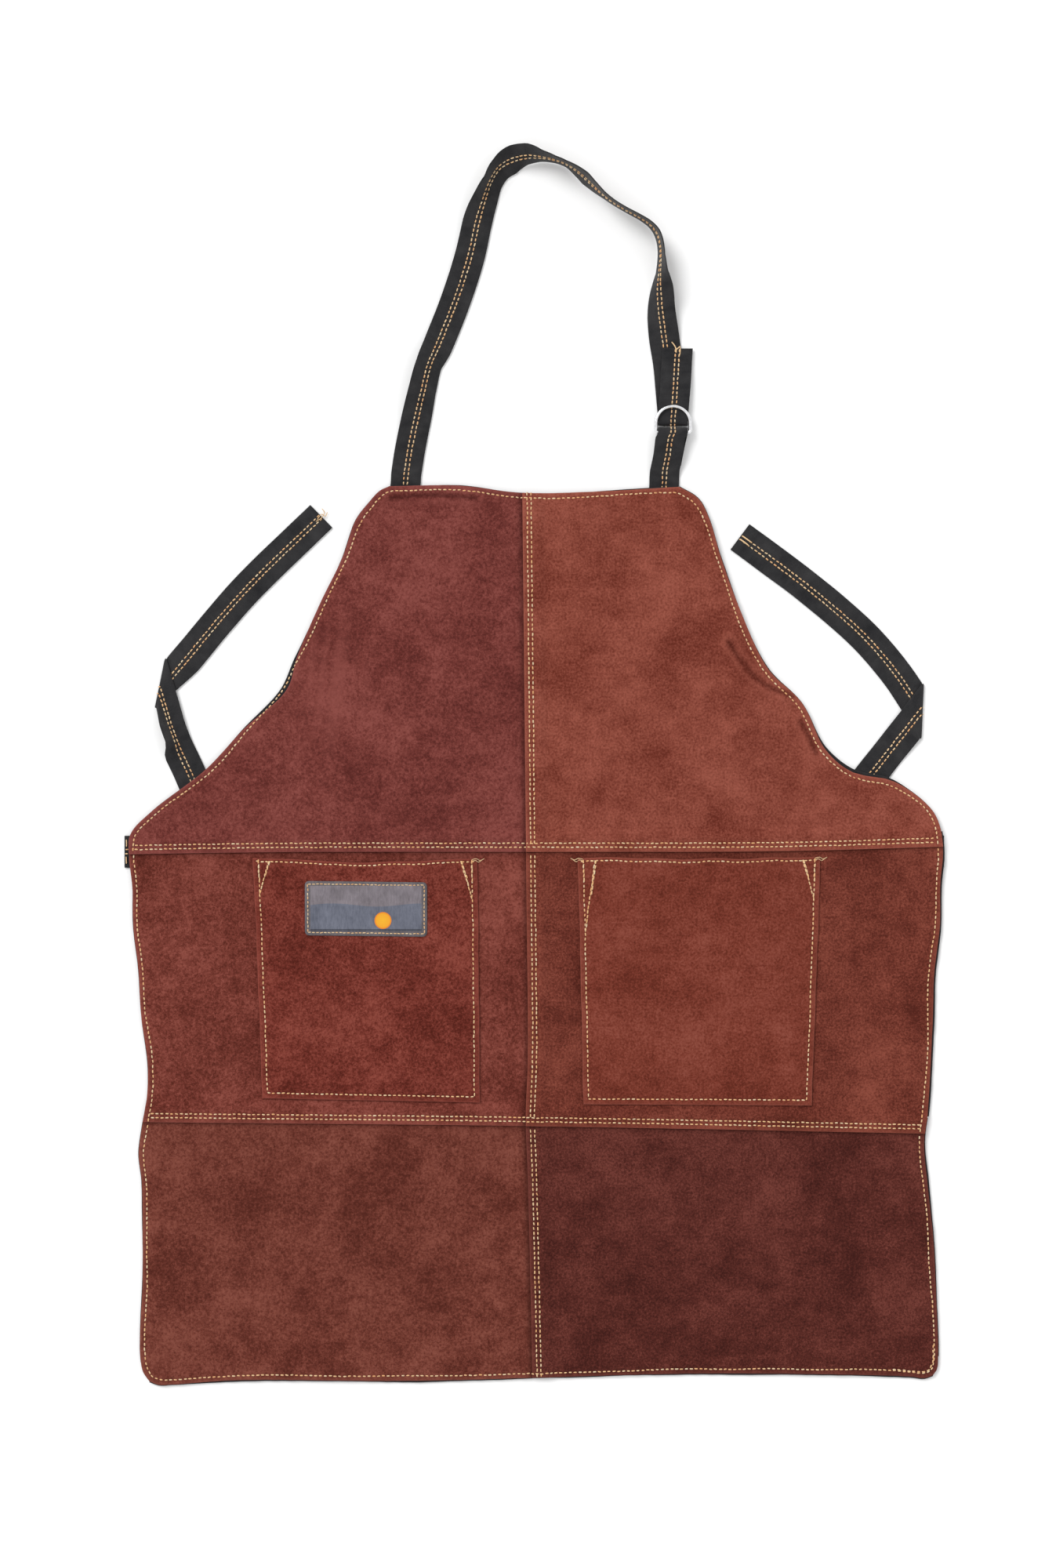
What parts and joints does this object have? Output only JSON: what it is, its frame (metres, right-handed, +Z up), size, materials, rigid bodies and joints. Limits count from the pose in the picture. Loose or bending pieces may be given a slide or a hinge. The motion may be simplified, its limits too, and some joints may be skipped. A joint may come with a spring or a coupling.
{
  "type": "welding apron",
  "caption": "Full-length split-leather apron laid flat: lap-seamed panels, patch pockets, buckled neck strap and waist ties.",
  "frame": {"origin": "middle of the flat apron's outline box, on the surface that it lies on", "axes": "+Z up out of the front face, +Y towards the neck, +X to the right as seen from above"},
  "size_m": [0.6795, 1.0288, 0.0254],
  "materials": {
    "waist_leather_left": "napped split suede, matt",
    "waist_leather_right": "napped split suede, matt",
    "pocket_leather_left": "napped split suede, matt",
    "pocket_leather_right": "napped split suede, matt",
    "label_cloth": "two-tone woven patch",
    "thread": "waxed cotton-look sewing thread",
    "facing_tape": "black woven facing tape",
    "strap_twill": "folded black cotton twill",
    "bib_leather_left": "napped split suede, matt",
    "bib_leather_right": "napped split suede, matt",
    "skirt_leather_left": "napped split suede, matt",
    "skirt_leather_right": "napped split suede, matt",
    "steel_ring": "bright plated wire"
  },
  "bodies": {
    "waist": {"waist_panel_left": "waist_leather_left", "waist_panel_right": "waist_leather_right", "pocket_left": "pocket_leather_left", "pocket_right": "pocket_leather_right", "label_patch": "label_cloth", "label_thread": "thread", "waist_facing_left": "facing_tape", "waist_facing_right": "facing_tape", "waist_edge_thread_left": "thread", "waist_edge_thread_right": "thread", "waist_centre_thread_a": "thread", "waist_centre_thread_b": "thread", "lower_seam_thread_a": "thread", "lower_seam_thread_b": "thread", "pocket_thread_left": "thread", "pocket_thread_right": "thread", "pocket_hem_thread_left": "thread", "pocket_hem_thread_right": "thread", "tie_sewn_end_left": "strap_twill", "tie_sewn_end_right": "strap_twill"},
    "bib": {"bib_panel_left": "bib_leather_left", "bib_panel_right": "bib_leather_right", "armhole_facing_left": "facing_tape", "armhole_facing_right": "facing_tape", "top_facing": "facing_tape", "bib_edge_thread": "thread", "bib_centre_thread_a": "thread", "bib_centre_thread_b": "thread", "upper_seam_thread_a": "thread", "upper_seam_thread_b": "thread", "neck_strap_sewn_end": "strap_twill", "buckle_strap_sewn_end": "strap_twill"},
    "skirt": {"skirt_panel_left": "skirt_leather_left", "skirt_panel_right": "skirt_leather_right", "skirt_facing_left": "facing_tape", "skirt_facing_right": "facing_tape", "hem_facing": "facing_tape", "skirt_edge_thread": "thread", "skirt_centre_thread_a": "thread", "skirt_centre_thread_b": "thread"},
    "neck_loop": {"neck_strap": "strap_twill", "buckle_strap": "strap_twill", "d_ring_lower": "steel_ring"},
    "upper_ring": {"d_ring_upper": "steel_ring"},
    "tie_left": {"tie_left": "strap_twill"},
    "tie_right": {"tie_right": "strap_twill"}
  },
  "joints": [
    {"name": "bib_fold", "type": "hinge", "parent": "waist", "child": "bib", "pos_m": [0, -0.075, 0.0105], "axis": [1, 0, 0], "range_deg": [0, 165]},
    {"name": "skirt_fold", "type": "hinge", "parent": "waist", "child": "skirt", "pos_m": [0, -0.3065, 0.0085], "axis": [1, 0, 0], "range_deg": [-165, 0]},
    {"name": "neck_loop_swing", "type": "hinge", "parent": "bib", "child": "neck_loop", "pos_m": [0, 0.238, 0.0016], "axis": [-1, 0, 0], "range_deg": [-130, 130]},
    {"name": "upper_ring_lift", "type": "hinge", "parent": "neck_loop", "child": "upper_ring", "pos_m": [0.1147, 0.275, 0.0076], "axis": [1, 0, 0], "range_deg": [0, 75]},
    {"name": "tie_left_swing", "type": "hinge", "parent": "waist", "child": "tie_left", "pos_m": [-0.322, -0.072, -0.00015], "axis": [0, 1, 0], "range_deg": [0, 170]},
    {"name": "tie_right_swing", "type": "hinge", "parent": "waist", "child": "tie_right", "pos_m": [0.322, -0.072, -0.00015], "axis": [0, -1, 0], "range_deg": [0, 170]}
  ]
}
